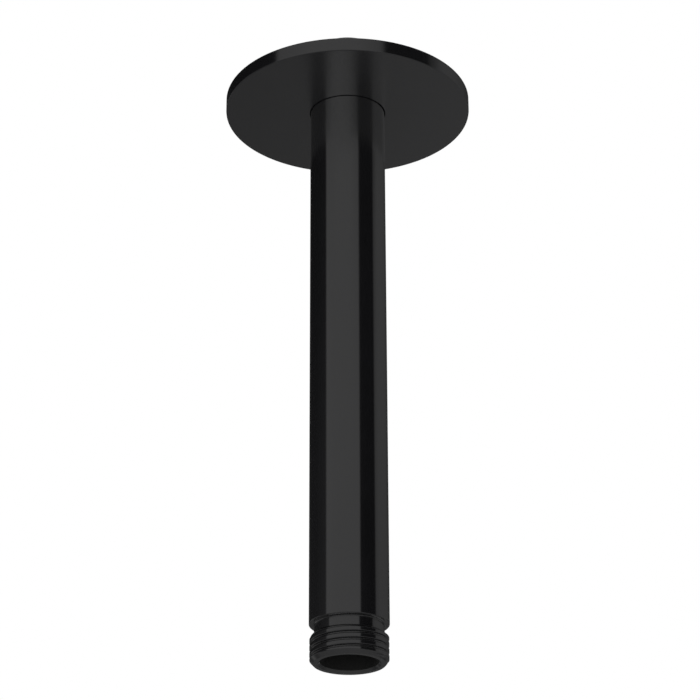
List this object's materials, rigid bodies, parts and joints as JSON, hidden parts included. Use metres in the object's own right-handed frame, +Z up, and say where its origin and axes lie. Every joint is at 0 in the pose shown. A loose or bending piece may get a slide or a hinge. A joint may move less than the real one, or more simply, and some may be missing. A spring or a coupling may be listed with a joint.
{
  "type": "shower arm",
  "caption": "Straight round shower arm that hangs from a ceiling fitting: a threaded pipe with a flat round flange that slides along it to cover the ceiling hole.",
  "frame": {"origin": "on the pipe's axis in the ceiling plane, where the inlet thread starts and the flange's back rim lies", "axes": "+Z up along the pipe into the ceiling, the pipe hangs along -Z; X and Y are any two horizontal directions, as the part is round about Z"},
  "size_m": [0.07, 0.07, 0.185],
  "materials": {
    "black_coated_steel": "satin black coating on turned steel",
    "black_rubber": "matte black rubber"
  },
  "bodies": {
    "arm": {"arm_tube": "black_coated_steel"},
    "ring": {"flange_o_ring": "black_rubber"},
    "flange": {"ceiling_flange": "black_coated_steel"}
  },
  "joints": [
    {"name": "flange_slide", "type": "slide", "parent": "arm", "child": "ring", "axis": [0, 0, -1], "range_m": [0, 0.153]},
    {"name": "flange_turn", "type": "hinge", "parent": "ring", "child": "flange", "pos_m": [0, 0, -0.002], "axis": [0, 0, 1], "continuous": true}
  ]
}
